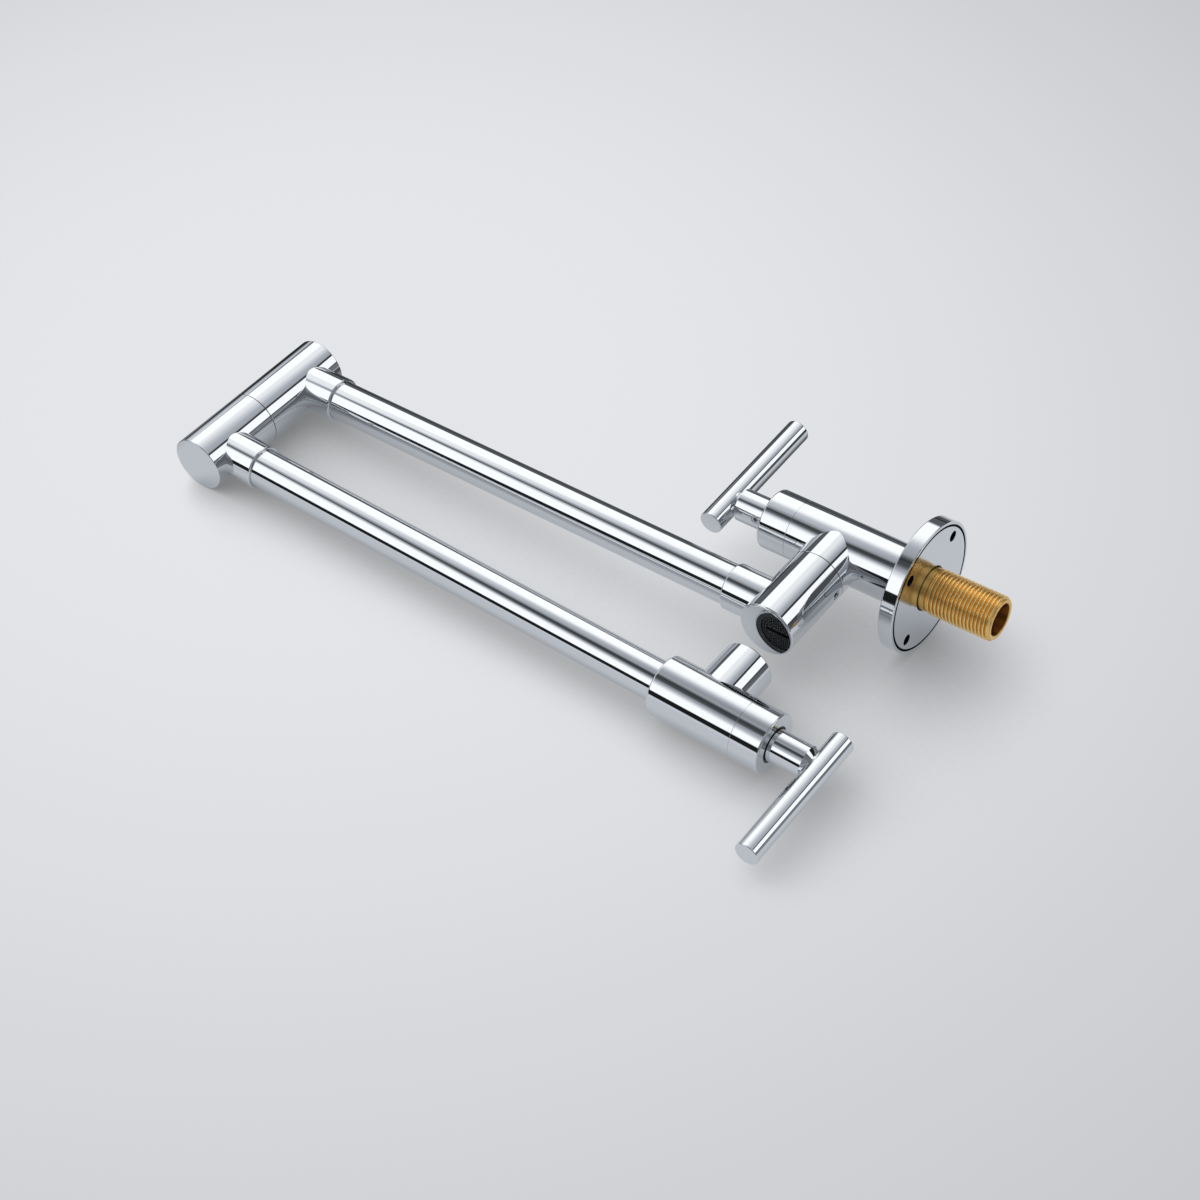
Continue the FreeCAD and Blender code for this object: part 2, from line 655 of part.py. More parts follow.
def swivel_sleeve(arm_height, top, cap_round):
    """Turning half, closed at the top. The tube leaves along +Y, the locking screw faces -Y."""
    low = SWIVEL_WASHER_T + FACE_GAP
    outer = SWIVEL_D / 2
    sleeve = turned([(0, low), (outer - SEAM_EDGE, low), (outer, low + SEAM_EDGE), (outer, top), (0, top)])
    sleeve = rounded_end(sleeve, top, cap_round).fuse(arm_socket(arm_height))
    sleeve = sleeve.cut(rod(POST_D + 2 * FIT, low - OVER, top - CAP_T)).cut(arm_bore(arm_height))
    screw_hole = tipped(rod(LOCK_SCREW_D + 2 * FIT, 0, outer + OVER), 90)
    return one_solid(sleeve.cut(moved(screw_hole, 0, 0, POST_CATCH)))


def swivel_screw():
    screw = lock_screw(POST_D / 2 - POST_CATCH_DEPTH + FIT, SWIVEL_D / 2 - LOCK_SUNK)
    return moved(tipped(screw, 90), 0, 0, POST_CATCH)


def elbow_lower():
    """Still half of the elbow, closed at the bottom. The inner tube leaves along +Y."""
    outer = SWIVEL_D / 2
    arm = -SEAM_OVER_ARM
    bottom = arm - ELBOW_UNDER_ARM
    half = turned([(0, bottom), (outer, bottom), (outer, -SEAM_EDGE), (outer - SEAM_EDGE, 0), (0, 0)])
    half = rounded_end(half, bottom, ELBOW_CAP_ROUND).fuse(arm_socket(arm))
    half = half.cut(rod(post_thread_d + 2 * FIT, -POST_THREAD_L - THREAD_RUNOUT, OVER))
    half = half.cut(rod(CHAMBER_D, arm - WATERWAY_D / 2 - CHAMBER_UNDER, -POST_THREAD_L))
    return one_solid(half.cut(arm_bore(arm)))


def arm_tube(start, end):
    """Arm tube along +Y from a swivel's axis."""
    return tipped(ring(TUBE_D, TUBE_D - 2 * TUBE_WALL, start, end), -90)


# Aerator. Its own +Z points down out of the spout, from the valve's axis.

def aerator_washer():
    return ring(AERATOR_D - 2 * LOOSE_FIT, PORT_D + OVER, aerator_top, aerator_top + AERATOR_WASHER_T)


def aerator_shell():
    """Threaded ring with an inner ledge between the straightener and the grille."""
    start = aerator_top + AERATOR_WASHER_T
    ledge = straightener_top + STRAIGHTENER_T
    shell = ring(AERATOR_D - 2 * FIT, aerator_inside_d, start, SPOUT_DROP - AERATOR_SUNK)
    hole = aerator_inside_d - 2 * AERATOR_LEDGE
    step = ring(aerator_inside_d + AERATOR_WALL, hole, ledge, ledge + AERATOR_LEDGE)
    return one_solid(shell.fuse(step))


def hole_circle(diameter, radius, count, low, high):
    """Drills for a circle of holes."""
    drill = moved(rod(diameter, low - OVER, high + OVER), radius, 0, 0)
    return [spun(drill, 360 / count * (i + 0.5)) for i in range(count)]


def flow_straightener():
    high = straightener_top + STRAIGHTENER_T
    core = rod(aerator_inside_d - 2 * LOOSE_FIT, straightener_top, high)
    count = STRAIGHTENER_HOLE_COUNT
    holes = hole_circle(STRAIGHTENER_HOLE_D, STRAIGHTENER_RING_R, count, straightener_top, high)
    return one_solid(core.cut(at_once(holes)))


def aerator_grille():
    """Dark disc with rings of holes, six more in each ring, and a slot for a coin."""
    end = SPOUT_DROP - AERATOR_SUNK - GRILLE_SUNK
    start = end - GRILLE_T
    grille = rod(aerator_inside_d - 2 * LOOSE_FIT, start, end)
    for i in range(1, GRILLE_RING_COUNT + 1):
        grille = grille.cut(at_once(hole_circle(GRILLE_HOLE_D, GRILLE_RING_STEP * i, 6 * i, start, end)))
    return one_solid(grille.cut(block(COIN_SLOT_W, COIN_SLOT_L, end - COIN_SLOT_DEPTH, end + OVER)))


# Assembly

def valve_pieces(name, body, lean):
    """Everything of one valve and its handle, in the valve's own frame."""
    return {
        name + "_valve_body": body,
        name + "_valve_collar": valve_collar(),
        name + "_handle_bush": handle_bush(),
        name + "_cartridge_housing": cartridge_housing(),
        name + "_body_seal_ring": body_seal(),
        name + "_seat_seal": seat_seal(),
        name + "_fixed_disc": fixed_disc(),
        name + "_turning_disc": turning_disc(),
        name + "_runner_washer": runner_washer(),
        name + "_stem": stem(lean),
        name + "_stem_seal_rings": stem_seals(),
        name + "_stem_clip": stem_clip(),
        name + "_handle_hub": handle_hub(lean),
        name + "_handle_bar": handle_bar(lean),
        name + "_handle_screw": handle_screw(lean),
    }


def still_swivel_pieces(name):
    """What stands still inside a swivel, about its seam."""
    return {
        name + "_post": swivel_post(),
        name + "_seal_rings": swivel_seals(),
        name + "_washer": swivel_washer(),
    }


def at_wall(pieces, out):
    """Pieces whose own +Z points out of the wall, their 0 this far out."""
    return {name: moved(tipped(piece, 90), 0, -out, 0) for name, piece in pieces.items()}


def turned_about(pieces, degrees, place):
    """Pieces spun about Z and set at a place."""
    return {name: moved(spun(piece, degrees), *place) for name, piece in pieces.items()}


turn = math.radians(INNER_ARM_TURN)
elbow_x = ARM_REACH * math.sin(turn)
elbow_y = -SWIVEL_OUT - ARM_REACH * math.cos(turn)

nodes = at_wall({
    "wall_plate": wall_plate(),
    "wall_cover": wall_cover(),
    "wall_cover_ring": cover_ring(),
    "inlet_nipple": nipple(),
    "inlet_nipple_gasket": nipple_gasket(),
}, 0)
nodes.update(at_wall(valve_pieces("inlet", inlet_body(), INLET_HANDLE_LEAN), inlet_seam))
nodes.update(turned_about(still_swivel_pieces("base_swivel"), 0, (0, -SWIVEL_OUT, BRANCH_TOP)))

nodes.update(turned_about({
    "base_swivel_sleeve": swivel_sleeve(ARM_OVER_BRANCH, ARM_OVER_BRANCH + CAP_OVER_ARM, BASE_CAP_ROUND),
    "base_swivel_screw": swivel_screw(),
}, 180 + INNER_ARM_TURN, (0, -SWIVEL_OUT, BRANCH_TOP)))
tube_start = TUBE_SEAT + TUBE_END_GAP
nodes.update(turned_about({
    "inner_arm_tube": arm_tube(tube_start, ARM_REACH - tube_start),
}, 180 + INNER_ARM_TURN, (0, -SWIVEL_OUT, inner_arm_z)))
nodes.update(turned_about({
    "elbow_lower_housing": elbow_lower(),
}, INNER_ARM_TURN, (elbow_x, elbow_y, elbow_seam)))
nodes.update(turned_about(still_swivel_pieces("elbow"), 0, (elbow_x, elbow_y, elbow_seam)))

nodes.update(turned_about({
    "elbow_upper_housing": swivel_sleeve(ARM_OVER_SEAM, ARM_OVER_SEAM + ELBOW_OVER_ARM, ELBOW_CAP_ROUND),
    "elbow_screw": swivel_screw(),
}, OUTER_ARM_TURN, (elbow_x, elbow_y, elbow_seam)))
tube_end = outlet_seam - SEAT_DEPTH - SEAT_LAND - OUTLET_TUBE_STOP - TUBE_END_GAP
nodes.update(turned_about({
    "outer_arm_tube": arm_tube(tube_start, tube_end),
}, OUTER_ARM_TURN, (elbow_x, elbow_y, outer_arm_z)))
outlet = valve_pieces("outlet", outlet_body(), OUTLET_HANDLE_LEAN)
outlet = {name: moved(tipped(piece, -90), 0, outlet_seam, 0) for name, piece in outlet.items()}
aerator = {
    "aerator_washer": aerator_washer(),
    "aerator_shell": aerator_shell(),
    "aerator_flow_straightener": flow_straightener(),
    "aerator_grille": aerator_grille(),
}
outlet.update({name: moved(tipped(piece, 180), 0, SPOUT_REACH, 0) for name, piece in aerator.items()})
nodes.update(turned_about(outlet, OUTER_ARM_TURN, (elbow_x, elbow_y, outer_arm_z)))

for name, shape in nodes.items():
    shape.exportStep("parts/" + name + ".step")
print(len(nodes), "pieces")
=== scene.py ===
# %% [markdown]
# # Pot filler tap
#
# A folding tap lies on a pale table, photographed from above. Nearly all of it is mirror
# chrome, so most of its look is the room that it reflects: three softboxes, a grey ceiling and
# a dark gap above the edge of the table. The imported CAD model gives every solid. This script
# adds what a CAD model leaves out: the finishes, the thread on the wall pipe, the fine holes of
# the aerator, and the studio. Lengths are in metres, and MM turns millimetres into them.

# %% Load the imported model
import json
import math

import bpy
import numpy as np
from mathutils import Matrix, Vector


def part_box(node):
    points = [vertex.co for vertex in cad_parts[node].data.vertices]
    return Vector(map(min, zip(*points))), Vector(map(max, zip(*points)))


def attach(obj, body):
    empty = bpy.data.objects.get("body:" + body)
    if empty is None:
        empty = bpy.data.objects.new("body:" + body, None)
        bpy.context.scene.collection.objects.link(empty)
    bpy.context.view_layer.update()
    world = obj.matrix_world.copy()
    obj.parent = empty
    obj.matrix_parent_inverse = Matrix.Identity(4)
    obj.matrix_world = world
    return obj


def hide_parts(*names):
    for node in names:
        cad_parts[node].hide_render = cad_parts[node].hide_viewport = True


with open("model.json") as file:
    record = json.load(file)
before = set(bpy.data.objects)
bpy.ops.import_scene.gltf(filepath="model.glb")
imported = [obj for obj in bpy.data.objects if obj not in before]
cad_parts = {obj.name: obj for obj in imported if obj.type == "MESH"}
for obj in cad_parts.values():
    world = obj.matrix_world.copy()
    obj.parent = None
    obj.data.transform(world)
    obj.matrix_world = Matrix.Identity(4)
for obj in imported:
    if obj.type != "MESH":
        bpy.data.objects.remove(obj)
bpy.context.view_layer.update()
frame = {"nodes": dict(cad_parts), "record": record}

nodes = frame["nodes"]
MM = 0.001

# %% [markdown]
# ## Small helpers for materials
#
# A material is a set of nodes with links between them. Every finish below needs the same few
# steps: read the piece's own coordinates, turn or stretch them, make a pattern, and send it to
# colour, roughness or bump. Object coordinates are used throughout, because a node's mesh is
# already in metres in the tap's own frame, so a pattern keeps its real size. Most values of a
# noise lie in a narrow range round one half, so that range is what gets spread.

# %% Material helpers
NOISE_RANGE = (0.3, 0.7)
NARROW_RANGE = (0.35, 0.65)


def add(tree, kind, **settings):
    """A node of this kind. Settings with a matching input fill it, others set the node itself."""
    node = tree.nodes.new(kind)
    for name, value in settings.items():
        if name in node.inputs:
            node.inputs[name].default_value = value
        else:
            setattr(node, name, value)
    return node


def principled(name, colour, metallic, roughness):
    """A new material with plain values on its shader's own sockets."""
    material = bpy.data.materials.new(name)
    material.use_nodes = True
    tree = material.node_tree
    shader = tree.nodes["Principled BSDF"]
    shader.inputs["Base Color"].default_value = (*colour, 1.0)
    shader.inputs["Metallic"].default_value = metallic
    shader.inputs["Roughness"].default_value = roughness
    return material, tree, shader


def coordinates(tree, stretch=(1, 1, 1), turn=0.0):
    """Object coordinates in metres, turned about Z and stretched."""
    source = add(tree, "ShaderNodeTexCoord")
    mapping = add(tree, "ShaderNodeMapping")
    mapping.inputs["Rotation"].default_value = (0, 0, turn)
    mapping.inputs["Scale"].default_value = stretch
    tree.links.new(source.outputs["Object"], mapping.inputs["Vector"])
    return mapping.outputs["Vector"]


def noise(tree, vector, per_metre, detail=3.0, rough=0.5):
    """Cloudy noise with this many blotches in a metre."""
    node = add(tree, "ShaderNodeTexNoise")
    node.inputs["Scale"].default_value = per_metre
    node.inputs["Detail"].default_value = detail
    node.inputs["Roughness"].default_value = rough
    tree.links.new(vector, node.inputs["Vector"])
    return node.outputs["Fac"]


def spread(tree, value, low_in, high_in, low, high, curve="LINEAR"):
    """Carries a pattern's range to another range."""
    node = add(tree, "ShaderNodeMapRange", interpolation_type=curve)
    node.inputs["From Min"].default_value = low_in
    node.inputs["From Max"].default_value = high_in
    node.inputs["To Min"].default_value = low
    node.inputs["To Max"].default_value = high
    tree.links.new(value, node.inputs["Value"])
    return node.outputs["Result"]


def tint(tree, value, dark, light):
    """Mixes two colours by a pattern."""
    node = add(tree, "ShaderNodeMix", data_type="RGBA")
    node.inputs["A"].default_value = (*dark, 1.0)
    node.inputs["B"].default_value = (*light, 1.0)
    tree.links.new(value, node.inputs["Factor"])
    return node.outputs["Result"]


def combine(tree, operation, first, second=0.0):
    """Arithmetic on patterns and plain numbers. A root or a size needs only the first."""
    node = add(tree, "ShaderNodeMath", operation=operation)
    for socket, value in zip(node.inputs, (first, second)):
        if isinstance(value, (int, float)):
            socket.default_value = value
        else:
            tree.links.new(value, socket)
    return node.outputs["Value"]


def from_axis(tree):
    """Distance from the inlet axis: the length of the place without its part along Y."""
    node = add(tree, "ShaderNodeVectorMath", operation="LENGTH")
    tree.links.new(coordinates(tree, (1.0, 0.0, 1.0)), node.inputs[0])
    return node.outputs["Value"]


def bump(tree, shader, height, depth):
    """Raises the surface by a pattern, at most depth metres."""
    node = add(tree, "ShaderNodeBump")
    node.inputs["Distance"].default_value = depth
    tree.links.new(height, node.inputs["Height"])
    tree.links.new(node.outputs["Normal"], shader.inputs["Normal"])


def dress(material, *names):
    """Gives CAD nodes this material."""
    for name in names:
        slots = nodes[name].data.materials
        slots.clear()
        slots.append(material)
    print(material.name, "on", len(names), "nodes")


# %% [markdown]
# ## Chrome
#
# The real finish is a very thin layer of chromium over nickel on polished brass. It mirrors
# about two thirds of the light, a little less of the red, so its greys lean to blue. One
# perfect mirror would look like a computer picture, so two faint patterns are added: a haze
# where hands and polish have been, which changes the roughness, and a slow waviness left by
# the polishing wheel, which bends reflections by a hair. The drawn tubes were polished along
# their length and the turned bodies all round, so the tubes' haze is stretched along the arm.
# The wall plate is stamped and only plated, without polishing, so it mirrors as if through
# thin fog, and the threads of the nipple melt together in it. The narrow gap between the rim
# of the plate and the inside of the cover gets painted shade: there the colour turns dark by
# the distance from the inlet axis, and starts some way behind the cover's front.

# %% Chrome finishes
CHROME = (0.70, 0.715, 0.735)
HAZE_PER_METRE = 55.0
WAVE_PER_METRE = 45.0
HAZE_RANGE = (0.38, 0.72)
WAVE_DEPTH = 0.004 * MM
GAP_SHADE_COLOUR = (0.03, 0.03, 0.033)
GAP_SHADE_START = 0.3 * MM


def chrome(name, stretch=(1, 1, 1), turn=0.0, smooth=0.012, hazy=0.035, gap_shade=None):
    """Mirror chrome whose roughness wanders between two values along a stretched noise.

    With the last argument, painted shade darkens it between two distances from the inlet
    axis, on the wall's side of a place along the axis.
    """
    material, tree, shader = principled(name, CHROME, 1.0, smooth)
    place = coordinates(tree, stretch, turn)
    haze = noise(tree, place, HAZE_PER_METRE, detail=6.0, rough=0.62)
    tree.links.new(spread(tree, haze, *HAZE_RANGE, smooth, hazy), shader.inputs["Roughness"])
    wave = noise(tree, place, WAVE_PER_METRE, detail=1.0)
    bump(tree, shader, wave, WAVE_DEPTH)
    if gap_shade:
        bright_r, dark_r, room_side = gap_shade
        # Painted shade in the gap between plate and cover, mixed into the base colour.
        apart = add(tree, "ShaderNodeSeparateXYZ")
        tree.links.new(coordinates(tree), apart.inputs["Vector"])
        ring = spread(tree, from_axis(tree), bright_r, dark_r, 0.0, 1.0)
        behind = spread(tree, apart.outputs["Y"], room_side, room_side + GAP_SHADE_START, 0.0, 1.0)
        gap = combine(tree, "MULTIPLY", ring, behind)
        tree.links.new(tint(tree, gap, CHROME, GAP_SHADE_COLOUR), shader.inputs["Base Color"])
    return material


INNER_ARM_TURN = math.radians(0.4)
OUTER_ARM_TURN = math.radians(3.4)
ALONG_ARM = (1.0, 0.12, 1.0)
tube_chrome_inner = chrome("chrome on the inner tube", ALONG_ARM, INNER_ARM_TURN)
tube_chrome_outer = chrome("chrome on the outer tube", ALONG_ARM, OUTER_ARM_TURN)
body_chrome = chrome("chrome on turned bodies")
plate_low, plate_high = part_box("wall_plate")
plate_r = (plate_high.x - plate_low.x) / 2
plate_chrome = chrome("satin chrome on the wall plate", smooth=0.15, hazy=0.20,
                      gap_shade=(plate_r - 0.10 * MM, plate_r - 0.04 * MM, plate_low.y - MM))
cover_low, cover_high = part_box("wall_cover")
cover_chrome = chrome("chrome on the wall cover",
                      gap_shade=(plate_r + 1.10 * MM, plate_r + 1.04 * MM, cover_low.y + 0.4 * MM))

dress(tube_chrome_inner, "inner_arm_tube")
dress(tube_chrome_outer, "outer_arm_tube")
dress(body_chrome, "inlet_valve_body", "inlet_valve_collar", "inlet_handle_hub", "inlet_handle_bar",
      "outlet_valve_body", "outlet_valve_collar", "outlet_handle_hub", "outlet_handle_bar",
      "base_swivel_sleeve", "elbow_lower_housing", "elbow_upper_housing")
dress(plate_chrome, "wall_plate")
dress(cover_chrome, "wall_cover")

# %% [markdown]
# ## The threaded wall pipe
#
# The tap screws onto the supply pipe by a half inch brass nipple. A real thread is one helical
# ridge with flanks at 55 degrees and rounded crests. The surface is a grid: one direction runs
# along a closed profile, from the bore at one end over the outside to the other end and back
# through the bore, and the other direction runs round the axis. Where the profile passes over
# a threaded stretch, the radius also depends on the angle, and that makes the helix.

# %% Thread values
PITCH = 25.4 / 14 * MM
THREAD_R = 20.955 / 2 * MM
THREAD_DEPTH = 1.162 * MM
CREST_CUT = 1 / 6
FLANK_STEEPNESS = 1.5
ROUNDED = 0.65
BAND_R = 10.0 * MM
BORE_R = 7.4 * MM
TIP_CHAMFER = 1.2 * MM
BORE_CHAMFER = 0.5 * MM
INNER_THREAD_END = -3.0 * MM
FREE_THREAD_START = 2.8 * MM
BAND_EDGE = 0.02 * MM
ROWS_A_TURN = 14
STEPS_ROUND = 128
nipple_low, nipple_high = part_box("inlet_nipple")
print("nipple from", round(nipple_low.y / MM, 1), "to", round(nipple_high.y / MM, 1), "mm")


# %% Grid to mesh
def closed_grid(name, points):
    """Mesh from a grid of points (rows, columns, 3) that closes on itself in both directions."""
    rows, columns = points.shape[:2]
    mesh = bpy.data.meshes.new(name)
    row = np.arange(rows)[:, None]
    column = np.arange(columns)[None, :]
    next_row = (row + 1) % rows
    next_column = (column + 1) % columns
    corners = np.stack([row * columns + column, row * columns + next_column,
                        next_row * columns + next_column, next_row * columns + column], axis=-1)
    corners = corners.reshape(-1, 4)
    mesh.vertices.add(rows * columns)
    mesh.vertices.foreach_set("co", points.reshape(-1).astype(np.float32))
    mesh.loops.add(corners.size)
    mesh.loops.foreach_set("vertex_index", corners.reshape(-1).astype(np.int32))
    mesh.polygons.add(len(corners))
    mesh.polygons.foreach_set("loop_start", np.arange(0, corners.size, 4, dtype=np.int32))
    mesh.update(calc_edges=True)
    mesh.validate()
    piece = bpy.data.objects.new(name, mesh)
    bpy.context.scene.collection.objects.link(piece)
    return piece


def smooth_shaded(piece, degrees):
    """Shades faces smooth, except across edges sharper than this angle."""
    piece.data.polygons.foreach_set("use_smooth", np.ones(len(piece.data.polygons), bool))
    piece.data.set_sharp_from_angle(angle=math.radians(degrees))


# %% The nipple
def thread_radius(along, angle, start, end):
    """Radius of the thread's surface.

    Along the axis the ridge is a triangle wave whose crests and roots are cut off. It is
    rounded by mixing the straight flank with a smooth step. Its phase moves by one pitch for
    each turn of the angle. Near both ends the ridge is planed down to a cone, as the die
    leaves it.
    """
    phase = (along / PITCH - angle / (2 * np.pi)) % 1.0
    wave = np.abs(2 * phase - 1)
    flank = np.clip((wave - CREST_CUT) * FLANK_STEEPNESS, 0, 1)
    ridge = (1 - ROUNDED) * flank + ROUNDED * flank ** 2 * (3 - 2 * flank)
    lead = np.clip(np.minimum(along - start, end - along) / PITCH, 0, 1)
    return THREAD_R - THREAD_DEPTH + THREAD_DEPTH * ridge * lead


def nipple_grid():
    """Grid of the nipple's surface, rows along its closed profile and columns round the axis."""
    valve_end, free_end = nipple_low.y, nipple_high.y
    angle = np.linspace(0, 2 * np.pi, STEPS_ROUND, endpoint=False)[None, :]
    step = PITCH / ROWS_A_TURN
    inner = np.arange(valve_end, INNER_THREAD_END, step)
    outer = np.arange(FREE_THREAD_START, free_end, step)
    inner_r = thread_radius(inner[:, None], angle, valve_end - PITCH, INNER_THREAD_END)
    outer_r = thread_radius(outer[:, None], angle, FREE_THREAD_START, free_end + PITCH)
    outer_r = np.minimum(outer_r, THREAD_R - TIP_CHAMFER + (free_end - outer)[:, None])
    band = np.array([INNER_THREAD_END + BAND_EDGE, FREE_THREAD_START - BAND_EDGE])
    bore = np.array([free_end, free_end - BORE_CHAMFER, valve_end + BORE_CHAMFER, valve_end])
    bore_r = np.array([BORE_R + BORE_CHAMFER, BORE_R, BORE_R, BORE_R + BORE_CHAMFER])
    flat = np.ones_like(angle)
    radius = np.vstack([inner_r, BAND_R * np.ones((2, 1)) * flat, outer_r, bore_r[:, None] * flat])
    along = np.concatenate([inner, band, outer, bore])[:, None] * flat
    return np.stack([radius * np.cos(angle), along, -radius * np.sin(angle)], axis=-1)


threaded_nipple = closed_grid("threaded_nipple", nipple_grid())
smooth_shaded(threaded_nipple, 50)
print("nipple triangles:", 2 * len(threaded_nipple.data.polygons))

# %% [markdown]
# Turned brass is a warm yellow metal with fine rings left by the tool. The rings are a
# pattern along the axis, far finer than the thread, in the bump and a little in the
# roughness. The crests are painted paler as a painted highlight, the flanks and roots stay
# deeper in colour, and the bore gets painted shade in dark brown, so the colour follows the
# distance from the axis. A faint cloudy pattern moves that distance a little and so adds the
# tarnish of cutting oil and air.

# %% Brass
BRASS_CREST_HIGHLIGHT = (1.0, 0.74, 0.32)
BRASS_LIGHT = (0.82, 0.51, 0.155)
BRASS_DARK = (0.86, 0.55, 0.17)
BORE_SHADE = (0.16, 0.052, 0.011)
BRASS_ROUGHNESS = (0.30, 0.42)
CLOUDS_PER_METRE = 160.0
CLOUD_DEPTH = 0.12 * MM
TOOL_RINGS_PER_METRE = 2400.0
TOOL_RING_DEPTH = 0.003 * MM


def turned_brass(name):
    """Brass with tool rings round the Y axis, a painted highlight on the crests and painted shade in
    the bore.
    """
    material, tree, shader = principled(name, BRASS_LIGHT, 1.0, 0.35)
    out = from_axis(tree)
    cloud = noise(tree, coordinates(tree), CLOUDS_PER_METRE, detail=3.0)
    shift = spread(tree, cloud, *NARROW_RANGE, -CLOUD_DEPTH, CLOUD_DEPTH)
    mottled = combine(tree, "ADD", out, shift)
    flank = spread(tree, mottled, THREAD_R - THREAD_DEPTH, BAND_R, 0.0, 1.0)
    # Painted highlight: the crests get the pale colour.
    crest_highlight = spread(tree, mottled, BAND_R + 0.08 * MM, THREAD_R - 0.05 * MM, 0.0, 1.0)
    outside = add(tree, "ShaderNodeMix", data_type="RGBA")
    tree.links.new(crest_highlight, outside.inputs["Factor"])
    tree.links.new(tint(tree, flank, BRASS_DARK, BRASS_LIGHT), outside.inputs["A"])
    outside.inputs["B"].default_value = (*BRASS_CREST_HIGHLIGHT, 1.0)
    colour = add(tree, "ShaderNodeMix", data_type="RGBA")
    colour.inputs["A"].default_value = (*BORE_SHADE, 1.0)
    # Painted shade: the bore gets the dark brown.
    wall = spread(tree, out, BORE_R + 0.1 * MM, BORE_R + 0.5 * MM, 0.0, 1.0)
    tree.links.new(wall, colour.inputs["Factor"])
    tree.links.new(outside.outputs["Result"], colour.inputs["B"])
    tree.links.new(colour.outputs["Result"], shader.inputs["Base Color"])
    rings = noise(tree, coordinates(tree, (0.02, 1.0, 0.02)), TOOL_RINGS_PER_METRE, detail=2.0)
    tree.links.new(spread(tree, rings, *NOISE_RANGE, *BRASS_ROUGHNESS), shader.inputs["Roughness"])
    bump(tree, shader, rings, TOOL_RING_DEPTH)
    return material


brass = turned_brass("turned brass")
threaded_nipple.data.materials.append(brass)
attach(threaded_nipple, "wall_and_inlet")
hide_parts("inlet_nipple")

# %% [markdown]
# ## The aerator's face
#
# The spout ends in a dark moulded disc full of small holes, which mixes air into the water. A
# coin slot lets it be unscrewed. The CAD disc has a few larger holes. Here the disc is turned
# from a profile. One Boolean modifier takes a whole field of round pegs away from it, and a
# second one the slot. Rings of pegs, six more in each ring, fill a circle evenly.

# %% Aerator values
HOLE_R = 0.42 * MM
HOLE_PITCH = 1.27 * MM
HOLE_RINGS = 6
HOLE_SIDES = 14
SLOT_W = 2.0 * MM
SLOT_L = 13.0 * MM
SLOT_DEPTH = 1.1 * MM
DISC_EDGE = 0.3 * MM
DISC_MIDDLE = 0.02 * MM
DISC_STEPS = 72
grille_low, grille_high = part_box("aerator_grille")
grille_centre = (grille_low + grille_high) / 2
grille_r = (grille_high.x - grille_low.x) / 2
print("aerator face:", round(2 * grille_r / MM, 1), "mm across")

# %% The perforated disc
def closed_profile(name, profile, steps, centre):
    """Turns a closed profile of (radius, height) points about the line up through the centre."""
    radius, height = np.array(profile).T[:, :, None]
    angle = np.linspace(0, 2 * np.pi, steps, endpoint=False)
    points = np.stack([centre.x + radius * np.cos(angle), centre.y + radius * np.sin(angle),
                       height * np.ones_like(angle)], axis=-1)
    return closed_grid(name, points)


def pegs(name, centre, low, high):
    """Pegs in rings, one in the middle and six more in each ring, without the slot's zone."""
    places = [(0.0, 0.0)]
    for ring in range(1, HOLE_RINGS + 1):
        count = 6 * ring
        turn = np.arange(count) * 2 * np.pi / count
        places += list(zip(HOLE_PITCH * ring * np.cos(turn), HOLE_PITCH * ring * np.sin(turn)))
    place = np.array(places)
    clear = SLOT_W / 2 + HOLE_R
    place = place[(abs(place[:, 0]) > clear) | (abs(place[:, 1]) > SLOT_L / 2 + HOLE_R)]
    side = np.linspace(0, 2 * np.pi, HOLE_SIDES, endpoint=False)
    rim = np.stack([np.cos(side), np.sin(side)], axis=-1) * HOLE_R
    flat = place[:, None, :] + rim[None, :, :] + np.array([centre.x, centre.y])
    levels = np.array([low, high])
    shape = (len(place), 2, HOLE_SIDES, 1)
    level = np.broadcast_to(levels[None, :, None, None], shape)
    circles = np.broadcast_to(flat[:, None], (len(place), 2, HOLE_SIDES, 2))
    points = np.concatenate([circles, level], axis=-1)
    start = np.arange(len(place))[:, None] * 2 * HOLE_SIDES
    step = np.arange(HOLE_SIDES)[None, :]
    ahead = (step + 1) % HOLE_SIDES
    walls = np.stack([start + step, start + ahead, start + HOLE_SIDES + ahead,
                      start + HOLE_SIDES + step], axis=-1)
    floors = start + step[:, ::-1]
    lids = start + HOLE_SIDES + step
    mesh = bpy.data.meshes.new(name)
    faces = walls.reshape(-1, 4).tolist() + floors.tolist() + lids.tolist()
    mesh.from_pydata(points.reshape(-1, 3).tolist(), [], faces)
    return mesh


bottom, top = grille_low.z, grille_high.z
disc_profile = [(DISC_MIDDLE, bottom), (grille_r - DISC_EDGE, bottom),
                (grille_r, bottom + DISC_EDGE), (grille_r, top), (DISC_MIDDLE, top)]
perforated = closed_profile("perforated_disc", disc_profile, DISC_STEPS, grille_centre)


def box_mesh(name, low, high):
    """Closed box between two corners."""
    x, y, z = np.meshgrid((low.x, high.x), (low.y, high.y), (low.z, high.z), indexing="ij")
    points = np.stack([x, y, z], axis=-1).reshape(-1, 3)
    sides = [(0, 1, 3, 2), (4, 6, 7, 5), (0, 4, 5, 1), (2, 3, 7, 6), (0, 2, 6, 4), (1, 5, 7, 3)]
    mesh = bpy.data.meshes.new(name)
    mesh.from_pydata(points.tolist(), [], sides)
    return mesh


def carved(piece, cutters):
    """Takes closed meshes away from the piece, one by one, and keeps the result as its mesh."""
    for mesh in cutters:
        cutter = bpy.data.objects.new(mesh.name, mesh)
        bpy.context.scene.collection.objects.link(cutter)
        modifier = piece.modifiers.new(mesh.name, "BOOLEAN")
        modifier.operation = "DIFFERENCE"
        modifier.solver = "EXACT"
        modifier.object = cutter
        bpy.context.view_layer.update()
        evaluated = piece.evaluated_get(bpy.context.evaluated_depsgraph_get())
        result = bpy.data.meshes.new_from_object(evaluated)
        piece.modifiers.clear()
        piece.data = result
        bpy.data.objects.remove(cutter)


